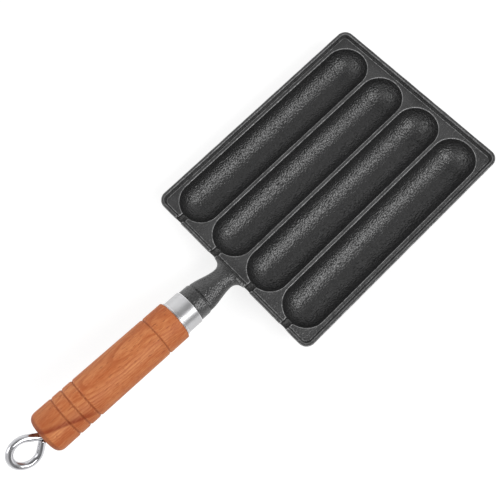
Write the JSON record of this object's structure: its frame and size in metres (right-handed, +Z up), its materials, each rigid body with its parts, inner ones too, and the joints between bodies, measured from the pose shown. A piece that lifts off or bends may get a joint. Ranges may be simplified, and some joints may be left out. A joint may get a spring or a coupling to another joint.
{
  "type": "four-trough sausage pan",
  "caption": "Rectangular cast iron pan with round-bottomed sausage troughs, stick notches, a tilted wooden handle and a screw-in steel hanging eye.",
  "frame": {"origin": "under the middle of the whole object, on the plane of the flats that the pan stands on", "axes": "+X along the troughs, away from the handle; +Y across the troughs; +Z up, the open side of the troughs"},
  "size_m": [0.3506, 0.1418, 0.057],
  "materials": {
    "iron": "seasoned, fine sand-cast grain",
    "ferrule": "satin turned",
    "wood": "orange-brown, thin satin lacquer",
    "steel": "bright plated wire"
  },
  "bodies": {
    "pan": {"pan_casting": "iron"},
    "handle": {"wooden_handle": "wood", "ferrule": "ferrule"},
    "rod": {"eye_rod": "steel"}
  },
  "joints": [
    {"name": "handle_draw", "type": "slide", "parent": "pan", "child": "handle", "axis": [-0.9848, 0, 0.1736], "range_m": [0, 0.0119]},
    {"name": "rod_turn", "type": "hinge", "parent": "handle", "child": "rod", "pos_m": [-0.00746, 0, 0.0188], "axis": [-0.9848, 0, 0.1736], "range_deg": [0, 6120]}
  ],
  "couplings": [
    {"joint": "rod_turn", "follows": "handle_draw", "rad_per_m": 8976}
  ]
}
